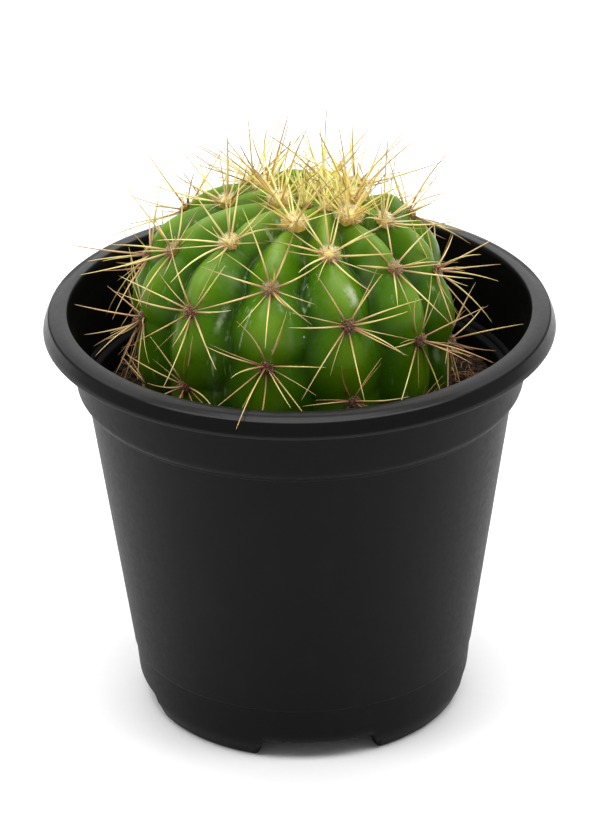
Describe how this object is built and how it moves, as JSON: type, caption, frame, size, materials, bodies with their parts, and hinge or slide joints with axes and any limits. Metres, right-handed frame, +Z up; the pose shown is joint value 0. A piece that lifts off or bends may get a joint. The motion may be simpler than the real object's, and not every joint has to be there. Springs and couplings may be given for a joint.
{
  "type": "potted round cactus",
  "caption": "Young ribbed barrel cactus with woolly areoles and straw-coloured spines, standing in soil in a black round nursery pot with a rolled rim and arched foot.",
  "frame": {"origin": "on the ground under the centre of the pot", "axes": "+Z up along the pot's axis; -Y is the side that faces the viewer in the picture; +X to the viewer's right"},
  "size_m": [0.12, 0.12, 0.1497],
  "materials": {
    "pot_plastic": "fine-grained matt black moulded plastic with a slight sheen on its edges",
    "potting_soil": "dark loose peat and coir with short brown fibres, matt",
    "cactus_skin": "smooth waxy green skin, lighter on the ribs, darker in the grooves, with pale rubbed streaks",
    "areole_wool": "short dense golden wool, brown-grey on the older areoles, matt",
    "spines": "straw-yellow horn-like spines with darker bases and tips, satin"
  },
  "bodies": {
    "root": {"pot": "pot_plastic", "soil": "potting_soil", "cactus": "cactus_skin"}
  },
  "joints": []
}
